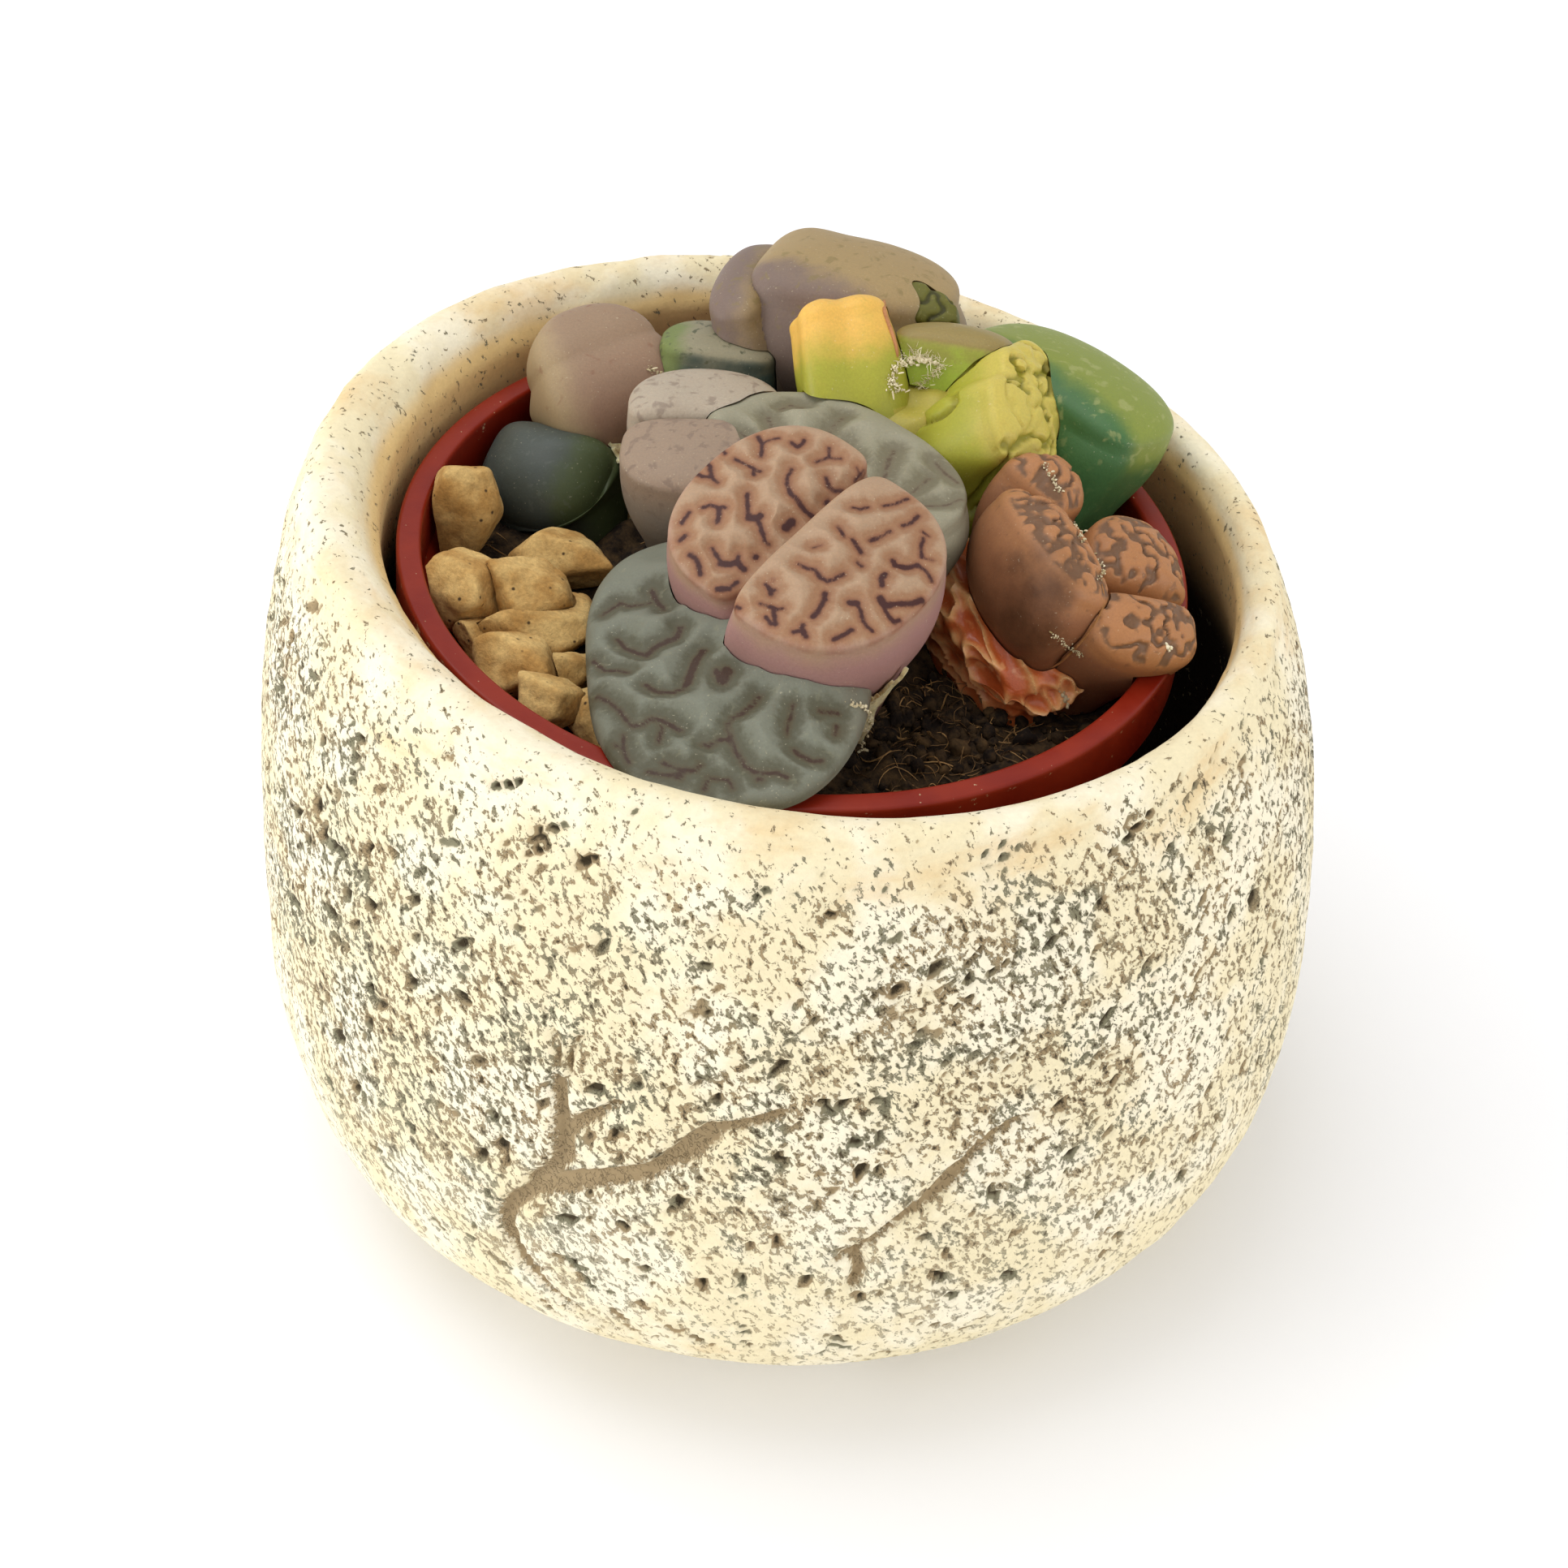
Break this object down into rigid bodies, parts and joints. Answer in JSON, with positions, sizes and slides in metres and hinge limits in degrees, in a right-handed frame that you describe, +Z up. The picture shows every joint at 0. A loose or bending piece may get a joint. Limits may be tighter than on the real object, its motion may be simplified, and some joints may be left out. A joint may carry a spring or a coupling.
{
  "type": "potted lithops",
  "caption": "Living-stone plants with domed, patterned paired leaves, rooted in peat with pebbles in a small plastic nursery pot inside a round pitted stoneware cachepot.",
  "frame": {"origin": "centre of the cachepot's flat base, on the surface that the pot stands on", "axes": "+Z up out of the pot, -Y toward the front leaf, +X toward the lower side of the slanted mouth"},
  "size_m": [0.0788, 0.0788, 0.0635],
  "materials": {
    "stoneware": "pale cream stoneware, cast with open pits and grooves",
    "nursery_plastic": "thin red-brown moulded plastic",
    "peat": "dark fibrous peat",
    "pebble": "rough beige grit",
    "dry_sheath": "dry papery skin of older leaves",
    "leaf_pink": "matte pinkish tan leaf skin with dark red strokes",
    "leaf_grey": "matte blue-grey leaf skin with grooved islands",
    "leaf_lilac": "matte lilac grey leaf skin",
    "leaf_rose": "matte rose tan leaf skin",
    "leaf_slate": "dark slate green leaf skin",
    "leaf_teal": "teal leaf skin with a speckled top",
    "leaf_olive": "olive tan leaf skin",
    "leaf_lime": "yellow-green folded leaf skin",
    "leaf_husk": "dark olive drying leaf",
    "leaf_green": "smooth green leaf skin",
    "leaf_brown": "matte brown leaf skin with mottled windows",
    "leaf_red": "wrinkled translucent orange-red old leaf"
  },
  "bodies": {
    "root": {"cachepot": "stoneware", "nursery_pot": "nursery_plastic", "pink_pair": "leaf_pink", "sheath_pink": "dry_sheath", "grey_leaf_front": "leaf_grey", "grey_leaf_back": "leaf_grey", "lilac_pair": "leaf_lilac", "rose_leaf": "leaf_rose", "slate_leaf": "leaf_slate", "sheath_slate": "dry_sheath", "teal_leaf": "leaf_teal", "lime_pair": "leaf_lime", "lime_inner_leaf": "leaf_lime", "lime_husk": "leaf_husk", "olive_pair": "leaf_olive", "green_leaf": "leaf_green", "brown_pair_left": "leaf_brown", "sheath_brown": "dry_sheath", "brown_pair_right": "leaf_brown", "red_wrinkled_leaf": "leaf_red", "pebble_01": "pebble", "pebble_02": "pebble", "pebble_03": "pebble", "pebble_04": "pebble", "pebble_05": "pebble", "pebble_06": "pebble", "pebble_07": "pebble", "pebble_08": "pebble", "pebble_09": "pebble", "pebble_10": "pebble", "soil": "peat"}
  },
  "joints": []
}
